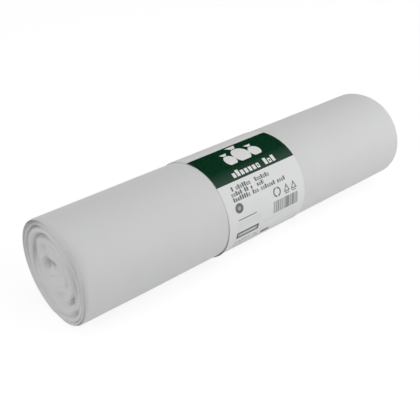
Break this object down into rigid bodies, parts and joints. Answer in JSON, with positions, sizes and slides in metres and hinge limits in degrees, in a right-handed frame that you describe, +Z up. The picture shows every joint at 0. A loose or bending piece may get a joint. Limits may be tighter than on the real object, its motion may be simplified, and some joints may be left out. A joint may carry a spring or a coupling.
{
  "type": "bin bag roll",
  "caption": "Coreless roll of folded, milky film bin bags lying on its side, held closed by a glued paper band with a printed label.",
  "frame": {"origin": "middle of the flat spot that the roll rests on", "axes": "+X along the roll, away from the end that the picture shows; +Z up; the front of the label faces -Y"},
  "size_m": [0.35, 0.0878, 0.0821],
  "materials": {
    "film": "milky translucent polyethylene film, satin, many layers deep",
    "paper": "smooth white paper with a dark green panel and grey print"
  },
  "bodies": {
    "root": {"bag_roll": "film", "paper_band": "paper"}
  },
  "joints": []
}
